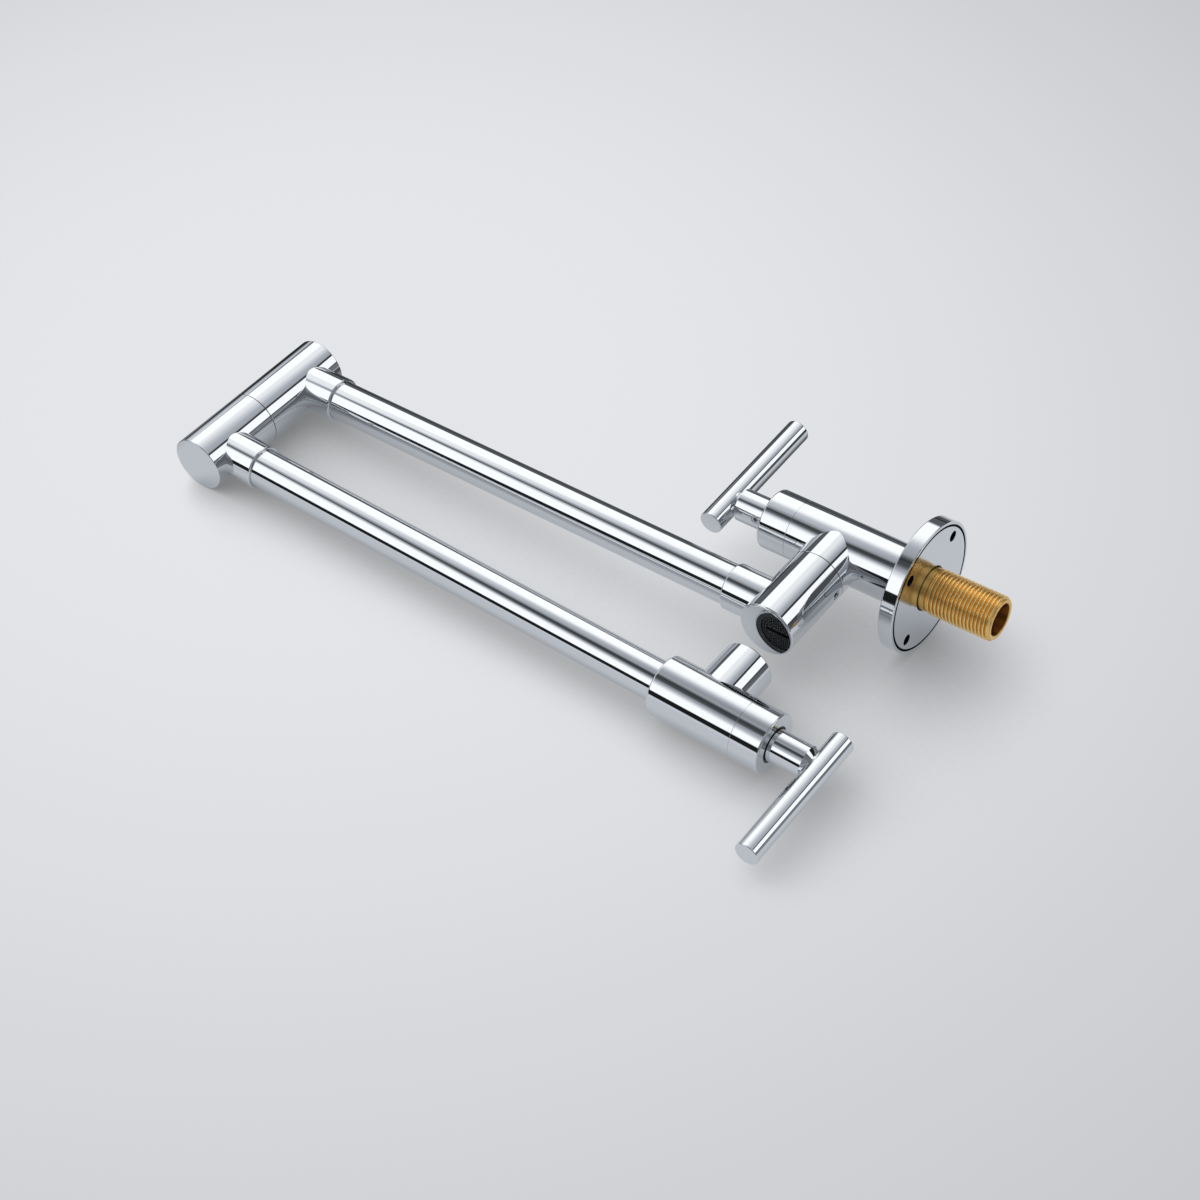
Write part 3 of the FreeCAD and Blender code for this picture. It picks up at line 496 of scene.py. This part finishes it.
slot_half = Vector((SLOT_W / 2, SLOT_L / 2, 0))
slot_low = grille_centre - slot_half
slot_low.z = bottom - MM
slot_high = grille_centre + slot_half
slot_high.z = bottom + SLOT_DEPTH
carved(perforated, [pegs("holes", grille_centre, bottom - MM, top + MM),
                    box_mesh("coin_slot", slot_low, slot_high)])
print("disc faces:", len(perforated.data.polygons))

# %% [markdown]
# ## The pieces inside
#
# A cutaway or a taken-apart picture shows the inside, so the inner pieces have finishes too.
# Rubber is nearly black and a little dusty. The valve discs are white sintered alumina,
# lapped until they seal by themselves. Screws and clips are plain turned steel, and other
# plain parts are black or white plastic.

# %% Finishes by slot
UNEVEN = 0.08
slots = {part["node"]: part["material_slot"] for part in frame["record"]["subparts"]}


def moulded(name, dark, light, roughness, grain, depth):
    """A moulded or pressed material: mottled colour and a fine grain that also roughens it."""
    material, tree, shader = principled(name, light, 0.0, roughness)
    place = coordinates(tree)
    mottle = noise(tree, place, grain / 8, detail=4.0)
    tree.links.new(tint(tree, spread(tree, mottle, *NARROW_RANGE, 0.0, 1.0), dark, light),
                   shader.inputs["Base Color"])
    fine = noise(tree, place, grain, detail=3.0)
    rough = spread(tree, fine, *NOISE_RANGE, roughness - UNEVEN, roughness + UNEVEN)
    tree.links.new(rough, shader.inputs["Roughness"])
    bump(tree, shader, fine, depth)
    return material


STEEL = (0.60, 0.60, 0.62)
STEEL_ROUGHNESS = (0.22, 0.38)
MARKS_PER_METRE = 1800.0
MARK_DEPTH = 0.006 * MM


def turned_steel(name):
    """Steel with fine turning marks all round, as small screws and clips have."""
    material, tree, shader = principled(name, STEEL, 1.0, 0.28)
    marks = noise(tree, coordinates(tree, (1.0, 1.0, 4.0)), MARKS_PER_METRE, detail=2.0)
    tree.links.new(spread(tree, marks, *NOISE_RANGE, *STEEL_ROUGHNESS), shader.inputs["Roughness"])
    bump(tree, shader, marks, MARK_DEPTH)
    return material


black_plastic = moulded("moulded black plastic", (0.012, 0.012, 0.014), (0.028, 0.028, 0.031),
                        0.38, 1600.0, 0.010 * MM)
finishes = {
    "brass": brass,
    "rubber": moulded("black rubber", (0.018, 0.018, 0.018), (0.035, 0.034, 0.033),
                      0.62, 1200.0, 0.020 * MM),
    "ceramic": moulded("lapped ceramic", (0.84, 0.83, 0.79), (0.93, 0.92, 0.88),
                       0.16, 2500.0, 0.003 * MM),
    "black_plastic": black_plastic,
    "white_plastic": moulded("white acetal", (0.83, 0.83, 0.81), (0.90, 0.90, 0.88),
                             0.36, 1500.0, 0.010 * MM),
    "steel": turned_steel("turned steel"),
}
for slot, finish in finishes.items():
    dress(finish, *[name for name in nodes if slots[name] == slot and name != "inlet_nipple"])
polished = [name for name in nodes if slots[name] == "polished_chrome"]
print("chrome nodes:", len(polished))

perforated.data.materials.append(black_plastic)
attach(perforated, "outer_arm")
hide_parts("aerator_grille")

# %% [markdown]
# ## The table
#
# The tap was laid on a pale matte table, so the table is parallel to the swivel axes and
# touches the rim of the wall cover and the elbow. The camera sees only what the table does to
# the backdrop: a painted shade under the tap, measured as the share of the sky that each point
# of the table can't see, and a painted pool of light, falling off slowly away from one bright
# place. So the tap stays in view in every pose, also past the table and from behind. In a
# mirror the table glows with painted tones: the same shade, and painted dark below the wall
# pipe, as the tubes show it in the photograph.

# %% Table values
TABLE_TILT = 0.0614
TABLE_AT = 0.03125
COVER_BACK = -0.0035
HALF_TABLE = 4.0
TABLE_COLOUR = (0.74, 0.75, 0.77)
SKY_SAMPLES = 24
SHADE_REACH = 0.19
OPEN_SKY = 0.80
DEEP_SKY = 0.14
DEEP_SHADE = 0.24
SHADE_BEND = 0.80
LAMP_SIDE = Vector((-0.70, -0.68, -0.20))
BRIGHT_SPOT = Vector((0.011, -0.331, 0.025))
FALL_FROM, FALL_TO = 0.114, 0.754
FADED_LIGHT_TINT = (0.698, 0.697, 0.704)
WHITE = (1.0, 1.0, 1.0)

# %% Values of the table's painted glow in a mirror
TABLE_GLOW_IN_MIRRORS = (0.67, 0.70, 0.74)
MIRRORED_SHADE = 0.35
DARK_SIDE = Vector((0.0, 0.11, 1.0))
DARK_END, LIT_FROM, DARK_TONE = -0.030, 0.009, 0.14
NEAR_WALL = (-0.10, -0.04)
ELBOW_END = (-0.377, -0.35)
ABOVE_ARMS = (0.14, 0.24)
DIM_TONE, FULL_TONE, BRIGHT_TONE = 0.3, 1.0, 1.1
FAR_MIRROR_DARKENING = (0.7, 1.1)
FAR_MIRROR_TONE = 0.12


def table_x(y):
    """Distance of the table's plane along X at this place along Y."""
    return TABLE_AT + TABLE_TILT * (y - COVER_BACK)


# %% Table
ys = (-HALF_TABLE, HALF_TABLE)
corners = [(table_x(y), y, z) for y in ys for z in (-HALF_TABLE, HALF_TABLE)]
table_mesh = bpy.data.meshes.new("table")
table_mesh.from_pydata(corners, [], [(0, 1, 3, 2)])
table = bpy.data.objects.new("table", table_mesh)
bpy.context.scene.collection.objects.link(table)
print("table normal:", [round(part, 3) for part in table_mesh.polygons[0].normal])


# %% The table's painted shade and tones
def hidden_sky(tree):
    """Share of the sky that a point can't see, from 0 in the open to 1, bent by a power."""
    sky = add(tree, "ShaderNodeAmbientOcclusion", samples=SKY_SAMPLES)
    sky.inputs["Distance"].default_value = SHADE_REACH
    tilted = add(tree, "ShaderNodeCombineXYZ")
    for socket, part in zip(tilted.inputs, LAMP_SIDE.normalized()):
        socket.default_value = part
    tree.links.new(tilted.outputs["Vector"], sky.inputs["Normal"])
    unseen = spread(tree, sky.outputs["AO"], OPEN_SKY, DEEP_SKY, 0.0, 1.0)
    return combine(tree, "POWER", unseen, SHADE_BEND)


def painted_shade_and_light(tree, hidden, far):
    """What the camera sees: the painted shade times a painted pool of light that falls off with
    distance from the bright place.
    """
    away = spread(tree, far, FALL_FROM, FALL_TO, 0.0, 1.0, "SMOOTHSTEP")
    tone = add(tree, "ShaderNodeMix", data_type="RGBA", blend_type="MULTIPLY")
    tone.inputs["Factor"].default_value = 1.0
    tree.links.new(spread(tree, hidden, 0.0, 1.0, 1.0, DEEP_SHADE), tone.inputs["A"])
    tree.links.new(tint(tree, away, WHITE, FADED_LIGHT_TINT), tone.inputs["B"])
    return tone.outputs["Result"]


def mirrored_tone(tree, hidden, far):
    """Painted brightness of the table in a mirror, where it glows: four plain falls, multiplied.

    It is painted dark past a line along DARK_SIDE, but not close to the wall. It is painted dim past
    the elbow, but not above the arms. It has painted shade under the tap, and it is painted dark far
    away.
    """
    place = coordinates(tree)
    side = add(tree, "ShaderNodeVectorMath", operation="DOT_PRODUCT")
    tree.links.new(place, side.inputs[0])
    side.inputs[1].default_value = DARK_SIDE
    apart = add(tree, "ShaderNodeSeparateXYZ")
    tree.links.new(place, apart.inputs["Vector"])
    y, z = apart.outputs["Y"], apart.outputs["Z"]
    open_side = spread(tree, side.outputs["Value"], DARK_END, LIT_FROM, DARK_TONE, 1.0)
    lit = combine(tree, "MAXIMUM", open_side, spread(tree, y, *NEAR_WALL, 0.0, 1.0))
    inside = combine(tree, "MAXIMUM", spread(tree, y, *ELBOW_END, DIM_TONE, FULL_TONE),
                     spread(tree, z, *ABOVE_ARMS, DIM_TONE, BRIGHT_TONE))
    far_darkened = combine(tree, "MULTIPLY", combine(tree, "MULTIPLY", lit, inside),
                    spread(tree, far, *FAR_MIRROR_DARKENING, 1.0, FAR_MIRROR_TONE))
    return combine(tree, "MULTIPLY", spread(tree, hidden, 0.0, 1.0, 1.0, MIRRORED_SHADE), far_darkened)


# %% The table's material
def table_material():
    """Matte for plain rays, a pane tinted with painted shade and light for the camera, a painted glow
    in mirrors, clear from behind.
    """
    material, tree, shader = principled("pale table", TABLE_COLOUR, 0.0, 0.8)
    shader.inputs["Specular IOR Level"].default_value = 0.0
    links = tree.links
    hidden = hidden_sky(tree)
    far = add(tree, "ShaderNodeVectorMath", operation="DISTANCE")
    links.new(coordinates(tree), far.inputs[0])
    far.inputs[1].default_value = BRIGHT_SPOT
    # Painted shade and light: the camera sees the backdrop through a pane tinted by them.
    pane = add(tree, "ShaderNodeBsdfTransparent")
    links.new(painted_shade_and_light(tree, hidden, far.outputs["Value"]), pane.inputs["Color"])
    # Painted reflection: mirror rays see the table glow with painted tones instead of being lit.
    mirrored = add(tree, "ShaderNodeEmission")
    mirrored.inputs["Color"].default_value = (*TABLE_GLOW_IN_MIRRORS, 1.0)
    links.new(mirrored_tone(tree, hidden, far.outputs["Value"]), mirrored.inputs["Strength"])

    path = add(tree, "ShaderNodeLightPath")
    bounced = add(tree, "ShaderNodeMixShader")
    links.new(path.outputs["Is Glossy Ray"], bounced.inputs["Fac"])
    links.new(shader.outputs["BSDF"], bounced.inputs[1])
    links.new(mirrored.outputs["Emission"], bounced.inputs[2])
    facing = add(tree, "ShaderNodeNewGeometry")
    clear = add(tree, "ShaderNodeBsdfTransparent")
    front = add(tree, "ShaderNodeMixShader")
    links.new(path.outputs["Is Camera Ray"], front.inputs["Fac"])
    links.new(bounced.outputs["Shader"], front.inputs[1])
    links.new(pane.outputs["BSDF"], front.inputs[2])
    whole = add(tree, "ShaderNodeMixShader")
    links.new(facing.outputs["Backfacing"], whole.inputs["Fac"])
    links.new(front.outputs["Shader"], whole.inputs[1])
    links.new(clear.outputs["BSDF"], whole.inputs[2])
    links.new(whole.outputs["Shader"], tree.nodes["Material Output"].inputs["Surface"])
    return material


table_mesh.materials.append(table_material())
print("table dressed:", table_mesh.materials[0].name)

# %% [markdown]
# ## The room
#
# A mirror shows the room, so the room has to be right. The reflections in the photograph give
# it away: on each tube, a point's normal sends the eye's ray to one direction. Read that way,
# there are three softboxes, low over the table, a ceiling that glows beside the largest one
# and fades to dark overhead, a dim gap in it with a dark seam, and an unlit room near the
# horizon. Below the table's edge the room is pale, for pieces that swing past the table.
# Directions are given as the height above the table in degrees and the turn about its normal.
#
# Only mirror rays see this room. The matte table gets soft light from everywhere and a little
# more from the lamps' side, so a colour on it renders about as it is written.

# %% Room
def towards(height, turn):
    """Unit vector to a place in the room. The table's normal is -X, and turn 0 points to +Z."""
    h, t = math.radians(height), math.radians(turn)
    return Vector((-math.sin(h), math.cos(h) * math.sin(t), math.cos(h) * math.cos(t)))


class Room:
    """World shader built from a few patterns of the ray's direction."""

    def __init__(self, name):
        world = bpy.data.worlds.new(name)
        world.use_nodes = True
        self.tree = world.node_tree
        self.tree.nodes.clear()
        self.direction = add(self.tree, "ShaderNodeTexCoord").outputs["Generated"]
        bpy.context.scene.world = world

    def math(self, operation, first, second=0.0):
        """Arithmetic on the room's patterns and plain numbers."""
        return combine(self.tree, operation, first, second)

    def along(self, vector):
        """How far the ray points along this vector."""
        node = add(self.tree, "ShaderNodeVectorMath", operation="DOT_PRODUCT")
        self.tree.links.new(self.direction, node.inputs[0])
        node.inputs[1].default_value = vector
        return node.outputs["Value"]

    def ramp(self, value, start, end, low=0.0, high=1.0, smooth=True):
        """Carries start..end to low..high, also where start is the larger."""
        curve = "SMOOTHSTEP" if smooth else "LINEAR"
        return spread(self.tree, value, start, end, low, high, curve)

    def toward(self, height, turn, start, end, low=0.0, high=1.0):
        """Ramp over how far the ray points to a place in the room."""
        return self.ramp(self.along(towards(height, turn)), start, end, low, high)

    def sheet(self, height, turn, roll=0.0):
        """Flat coordinates on a sheet that faces the tap from here, and a mask for its side."""
        middle = towards(height, turn)
        across = towards(0, turn + 90)
        rise = middle.cross(across)
        if rise.x > 0:
            rise = -rise
        lean = math.radians(roll)
        across, rise = (across * math.cos(lean) + rise * math.sin(lean),
                        rise * math.cos(lean) - across * math.sin(lean))
        ahead = self.along(middle)
        front = self.math("GREATER_THAN", ahead, 0.05)
        safe = self.math("MAXIMUM", ahead, 0.05)
        x = self.math("DIVIDE", self.along(across), safe)
        y = self.math("DIVIDE", self.along(rise), safe)
        return x, y, front

    def lamp(self, height, turn, left, right, low, high, roll=0.0):
        """Soft-edged rectangle on a sheet. Each side is a pair: where it is full, where it ends."""
        x, y, front = self.sheet(height, turn, roll)
        across = self.math("MULTIPLY", self.ramp(x, left[1], left[0]), self.ramp(x, right[1], right[0]))
        up = self.math("MULTIPLY", self.ramp(y, low[1], low[0]), self.ramp(y, high[1], high[0]))
        return self.math("MULTIPLY", self.math("MULTIPLY", across, up), front)

    def over(self, below, mask, value):
        """Lays a value over another where the mask is 1."""
        rest = self.math("SUBTRACT", 1.0, mask)
        return self.math("ADD", self.math("MULTIPLY", below, rest), self.math("MULTIPLY", mask, value))


def cosine(degrees):
    """How far a ray points to a place that lies this many degrees away from it."""
    return math.cos(math.radians(degrees))


# %% The ceiling
# A row gives where a ramp starts and ends, and its two values there.
OVERHEAD = (0.85, 0.95, 1.14, 0.38)
GLOW = (0.50, 0.80, 0.40, 1.15)
GLOW_TURN = -115
ONE_SIDE = (-0.1, 0.5, 0.5, 1.0)

room = Room("studio")
rise = room.along((-1, 0, 0))
ceiling = room.math("MINIMUM", room.ramp(rise, *OVERHEAD, smooth=False),
                    room.ramp(rise, *GLOW, smooth=False))
level = room.math("SQRT", room.math("SUBTRACT", 1.0, room.math("MULTIPLY", rise, rise)))
side = room.math("DIVIDE", room.along(towards(0, GLOW_TURN)), room.math("MAXIMUM", level, 0.01))
light = room.math("MULTIPLY", ceiling, room.ramp(side, *ONE_SIDE, smooth=False))

# %% The dim gap in the ceiling, with its seam
GAP_AT = (62.5, -44)
GAP_CORE, GAP_FULL, GAP_ENDS = cosine(3), cosine(13), cosine(20)
GAP_TONES = (0.08, 0.45)
SEAM_THROUGH = (64, -49), (55.6, -62)
SEAM_WIDTH = (0.045, 0.018)
SEAM_ENDS = (cosine(18), cosine(14))
SEAM_TONE = 0.055

gap = room.along(towards(*GAP_AT))
gap_tone = room.ramp(gap, GAP_CORE, GAP_FULL, *GAP_TONES)
light = room.over(light, room.ramp(gap, GAP_ENDS, GAP_FULL), gap_tone)
first, second = (towards(*place) for place in SEAM_THROUGH)
seam_across = room.math("ABSOLUTE", room.along(first.cross(second).normalized()))
seam = room.math("MULTIPLY", room.ramp(seam_across, *SEAM_WIDTH), room.ramp(gap, *SEAM_ENDS))
light = room.over(light, seam, SEAM_TONE)

# %% The unlit room near the horizon
# A row gives the height and turn of a place, where a ramp towards it starts and ends, and its
# two values there. Without values, it is a mask.
DARK_ROOM = (0, -135, 0.2, 0.95, 0.015, 0.13)
GREY_WALL = (0, 70, 0.50, 0.66)
GREY_WALL_TONE = 0.28
OPENING_RIGHT = (0, -59, 0.38, 0.44)
OPENING_LEFT = (0, -149, 0.4, 0.6)
OPENING_TONES = (-0.05, 0.42, 0.30, 0.95)
LOW_PART = (0.30, 0.26)

low_tone = room.toward(*DARK_ROOM)
low_tone = room.over(low_tone, room.toward(*GREY_WALL), GREY_WALL_TONE)
opening = room.math("MULTIPLY", room.toward(*OPENING_RIGHT), room.toward(*OPENING_LEFT))
low_tone = room.over(low_tone, opening, room.ramp(rise, *OPENING_TONES))
light = room.over(light, room.ramp(rise, *LOW_PART), low_tone)

# %% The three softboxes
# Each side is a pair: where the lamp is full and where it ends, on a sheet at distance 1.
FAR_EDGE = dict(height=27, turn=128, left=(-0.34, -0.40), right=(0.34, 0.40),
                low=(-0.26, -0.30), high=(0.29, 0.32))
FAR_LAMP = dict(height=27, turn=128, left=(-0.28, -0.31), right=(0.28, 0.31),
                low=(-0.21, -0.24), high=(0.19, 0.21))
LARGE_EDGE = dict(height=38, turn=-139, left=(-0.50, -0.55), right=(0.30, 0.40),
                  low=(-0.50, -0.60), high=(-0.10, -0.05), roll=12)
LARGE_LAMP = dict(height=38, turn=-139, left=(-0.36, -0.46), right=(0.36, 0.46),
                  low=(-0.235, -0.275), high=(0.20, 0.40), roll=18)
SIDE_LAMP = dict(height=30, turn=-36, left=(-0.38, -0.44), right=(0.32, 0.38),
                 low=(-0.7, -0.8), high=(0.16, 0.34), roll=-30)
SIDE_LAMP_CUT = (0.25, 0.285)
LARGE_TONE, SIDE_TONE, FAR_TONE, FAR_EDGE_TONE = 1.42, 1.38, 1.36, 0.05
FLOOR_START, FLOOR_TONE = (-0.04, -0.14), 0.62

light = room.over(light, room.lamp(**FAR_EDGE), FAR_EDGE_TONE)
light = room.over(light, room.lamp(**LARGE_EDGE), low_tone)
light = room.over(light, room.lamp(**LARGE_LAMP), LARGE_TONE)
side_lamp = room.math("MULTIPLY", room.lamp(**SIDE_LAMP), room.ramp(rise, *SIDE_LAMP_CUT))
light = room.over(light, side_lamp, SIDE_TONE)
light = room.over(light, room.lamp(**FAR_LAMP), FAR_TONE)
light = room.over(light, room.ramp(rise, *FLOOR_START), FLOOR_TONE)

# %% What each kind of ray sees
SOFT_WHITE = (0.985, 0.995, 1.0)
DARK_BLUE = (0.93, 0.98, 1.06)
BACKDROP = (0.776, 0.785, 0.809)
SOFT_LIGHT = (48, -95, 0.0, 1.0, 0.74, 1.55)
BLUE_BELOW = (0.5, 1.25)
soft = room.toward(*SOFT_LIGHT)


def background(colour, strength):
    """A background of this colour and strength. Either may be a pattern."""
    node = add(room.tree, "ShaderNodeBackground")
    for name, value in (("Color", colour), ("Strength", strength)):
        if isinstance(value, bpy.types.NodeSocket):
            room.tree.links.new(value, node.inputs[name])
        else:
            node.inputs[name].default_value = (*value, 1.0) if name == "Color" else value
    return node.outputs["Background"]


def choose(kind, otherwise, when):
    """Switches between two backgrounds by the kind of ray."""
    path = add(room.tree, "ShaderNodeLightPath")
    mix = add(room.tree, "ShaderNodeMixShader")
    room.tree.links.new(path.outputs[kind], mix.inputs["Fac"])
    room.tree.links.new(otherwise, mix.inputs[1])
    room.tree.links.new(when, mix.inputs[2])
    return mix.outputs["Shader"]


blue = add(room.tree, "ShaderNodeMix", data_type="RGBA")
room.tree.links.new(room.ramp(light, *BLUE_BELOW), blue.inputs["Factor"])
blue.inputs["A"].default_value = (*DARK_BLUE, 1.0)
blue.inputs["B"].default_value = (*SOFT_WHITE, 1.0)
studio = background(blue.outputs["Result"], light)
matte = background(SOFT_WHITE, soft)
backdrop = background(BACKDROP, 1.0)
seen = choose("Is Glossy Ray", matte, studio)
seen = choose("Is Camera Ray", seen, backdrop)
output = add(room.tree, "ShaderNodeOutputWorld")
room.tree.links.new(seen, output.inputs["Surface"])
print("room nodes:", len(room.tree.nodes))

# %% [markdown]
# ## The camera
#
# The camera's place comes from fitting the outlines of the tap's cylinders in perspective. Its
# roll is measured from the upright that Blender's tracking gives.

# %% The camera
CAMERA_AT = Vector((-0.747234, 0.374986, 0.663001))
CAMERA_AIM = Vector((-0.004897, -0.111787, 0.088474))
CAMERA_ROLL = -134.44627
CAMERA_LENS = 73.379
SENSOR_WIDTH = 36

camera = bpy.data.objects.new("camera", bpy.data.cameras.new("camera"))
bpy.context.scene.collection.objects.link(camera)
turn = (CAMERA_AIM - CAMERA_AT).to_track_quat("-Z", "Y").to_matrix().to_4x4()
roll = Matrix.Rotation(math.radians(CAMERA_ROLL), 4, "Z")
camera.matrix_world = Matrix.Translation(CAMERA_AT) @ turn @ roll
camera.data.sensor_width = SENSOR_WIDTH
camera.data.lens = CAMERA_LENS
print("camera to aim in mm:", round((CAMERA_AIM - CAMERA_AT).length / MM))
bpy.context.scene.camera = camera
bpy.context.scene.view_settings.view_transform = "Standard"
